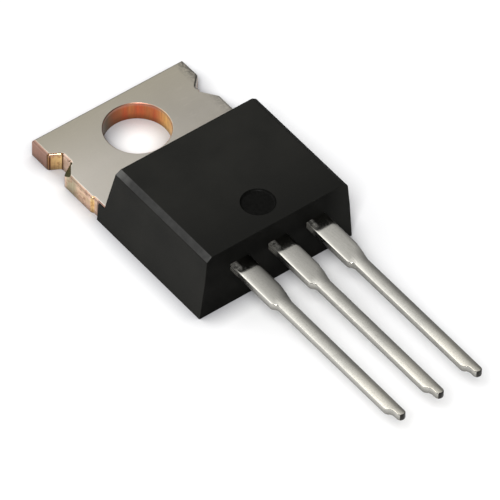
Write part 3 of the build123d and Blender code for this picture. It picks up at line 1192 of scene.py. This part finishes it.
class TRANSISTOR_OT_inner_pieces(bpy.types.Operator):
    """Finishes the chip, its solder and the bond wires, which the moulding hides"""

    bl_idname = "transistor.inner_pieces"
    bl_label = "Inner Pieces"

    def execute(self, context):
        wire = plain_material("aluminium_wire", (0.80, 0.80, 0.81), 1.0, 0.3)
        finishes = {
            "die_solder": plain_material("soft_solder", (0.50, 0.50, 0.51), 1.0, 0.4),
            "silicon_die": plain_material("silicon", (0.16, 0.17, 0.20), 0.6, 0.15),
            "gate_wire": wire,
            "source_wire_1": wire,
            "source_wire_2": wire,
        }
        for name, material in finishes.items():
            finish = frame["nodes"][name].data.materials
            finish.clear()
            finish.append(material)
        return {"FINISHED"}


def stand_facing(name, data, place, target, roll=0.0):
    """Stands a lamp or a camera at a place, facing a point and turned about its line of sight."""
    holder = bpy.data.objects.new(name, data)
    bpy.context.scene.collection.objects.link(holder)
    facing = (place - target).to_track_quat("Z", "Y") @ Quaternion((0, 0, 1), roll)
    holder.matrix_world = Matrix.LocRotScale(place, facing, None)
    return holder


def soft_lamp(name, place, target, size, watts):
    """A square soft lamp that faces a point."""
    lamp = bpy.data.lights.new(name, "AREA")
    lamp.shape = "SQUARE"
    lamp.size = size
    lamp.energy = watts
    stand_facing(name, lamp, place, target)


def seen_directly(made):
    """A value of one for what the camera sees, directly or in gloss or through glass."""
    rays = made.node("LightPath").outputs
    mirrored = made.math("MAXIMUM", rays["Is Glossy Ray"], rays["Is Transmission Ray"])
    return made.math("MAXIMUM", rays["Is Camera Ray"], mirrored)


def pale_floor(base, glow, contact):
    """A wide pale floor, which looks white beyond the part's contact shadow; that shadow is partly
    painted, as the floor's colour and glow fall near the part.
    """
    floor = add_solid(
        "floor", bpy.ops.mesh.primitive_plane_add, size=FLOOR_SIZE, location=(0, 0, -FLOOR_DROP)
    )
    made = Material("pale_floor", specular=0.0)
    open_air = made.node("AmbientOcclusion", {"Distance": contact}).outputs["AO"]
    # Painted shadow: the floor's colour falls to half near the part, as ambient occlusion sees it,
    # and the glow fades there too.
    body = made.mix(made.spread(open_air, 0.5, 1.0), tint(base, (0.50, 0.50, 0.515)), base)
    lift = made.multiply(seen_directly(made), glow, open_air, open_air)
    made.set(made.inputs["Emission Color"], (1.0, 1.0, 1.0))
    made.set(made.inputs["Emission Strength"], lift)
    floor.data.materials.append(made.wear(body, 0.9))


def soft_sky(stage):
    """Soft light, strongest overhead, at the back and to the left."""
    world = bpy.data.worlds.new("sky")
    bpy.context.scene.world = world
    world.use_nodes = True
    made = Nodes(world.node_tree)
    parts = made.node("SeparateXYZ", {"Vector": made.node("TexCoord").outputs["Generated"]}).outputs
    back = made.tree.nodes["Background"].inputs
    made.set(back["Color"], (1.0, 1.0, 1.0))
    made.set(back["Strength"], made.multiply(*(
        made.spread(parts[axis], start, end, low, high, interpolation_type="SMOOTHSTEP")
        for axis, start, end, low, high in (
            ("Z", 0.0, 0.80, stage.sky_low, stage.sky_high),
            ("X", -0.25, 0.75, stage.sky_left, stage.sky_right),
            ("Y", -0.10, 0.35, stage.sky_front, 1.0),
        )
    )))


def direction(azimuth, elevation):
    """The direction from the part towards something round it and above it."""
    level = Vector((math.sin(azimuth), -math.cos(azimuth), 0))
    return math.cos(elevation) * level + Vector((0, 0, math.sin(elevation)))


def aimed_camera(stage):
    """A long-lens camera that looks at its aim from its azimuth, elevation and roll."""
    lens = bpy.data.cameras.new("camera")
    lens.lens = stage.lens
    lens.sensor_width = SENSOR_WIDTH
    lens.clip_end = FARTHEST
    place = AIM + stage.distance * direction(stage.azimuth, stage.elevation)
    bpy.context.scene.camera = stand_facing("camera", lens, place, AIM, stage.roll)


class TRANSISTOR_OT_stage(bpy.types.Operator):
    """Sets up the floor, the light and the camera"""

    bl_idname = "transistor.stage"
    bl_label = "Stage"

    def execute(self, context):
        stage = context.scene.transistor_stage
        pale_floor(stage.floor, stage.floor_glow, stage.contact)
        soft_sky(stage)
        aimed_camera(stage)
        towards_lamp = direction(stage.key_azimuth, stage.key_elevation)
        place = AIM + LAMP_DISTANCE * stage.distance * towards_lamp
        middle = (CAD_BOX[0] + CAD_BOX[1]) / 2
        soft_lamp("key_lamp", place, middle, stage.key_size, stage.key)
        context.scene.view_settings.view_transform = "Standard"
        return {"FINISHED"}


OPERATORS = (
    TRANSISTOR_OT_drain_frame,
    TRANSISTOR_OT_outer_leads,
    TRANSISTOR_OT_moulded_body,
    TRANSISTOR_OT_inner_pieces,
    TRANSISTOR_OT_stage,
)
SETTINGS = {
    "transistor_tab": TabSettings,
    "transistor_leads": LeadSettings,
    "transistor_body": BodySettings,
    "transistor_stage": StageSettings,
}


class TRANSISTOR_PT_panel(bpy.types.Panel):
    """Lists the settings and the operators"""

    bl_label = "Power Transistor"
    bl_idname = "TRANSISTOR_PT_panel"
    bl_space_type = "VIEW_3D"
    bl_region_type = "UI"
    bl_category = "Transistor"

    def draw(self, context):
        for name, group in SETTINGS.items():
            box = self.layout.box()
            for setting in group.__annotations__:
                box.prop(getattr(context.scene, name), setting)
        for operator in OPERATORS:
            self.layout.operator(operator.bl_idname)


def register():
    for group in SETTINGS.values():
        bpy.utils.register_class(group)
    for name, group in SETTINGS.items():
        setattr(bpy.types.Scene, name, bpy.props.PointerProperty(type=group))
    for operator in OPERATORS:
        bpy.utils.register_class(operator)
    bpy.utils.register_class(TRANSISTOR_PT_panel)


def unregister():
    bpy.utils.unregister_class(TRANSISTOR_PT_panel)
    for operator in reversed(OPERATORS):
        bpy.utils.unregister_class(operator)
    for name in SETTINGS:
        delattr(bpy.types.Scene, name)
    for group in SETTINGS.values():
        bpy.utils.unregister_class(group)


def main():
    register()
    bpy.ops.transistor.drain_frame()
    bpy.ops.transistor.outer_leads()
    bpy.ops.transistor.moulded_body()
    bpy.ops.transistor.inner_pieces()
    bpy.ops.transistor.stage()


if __name__ == "__main__":
    main()
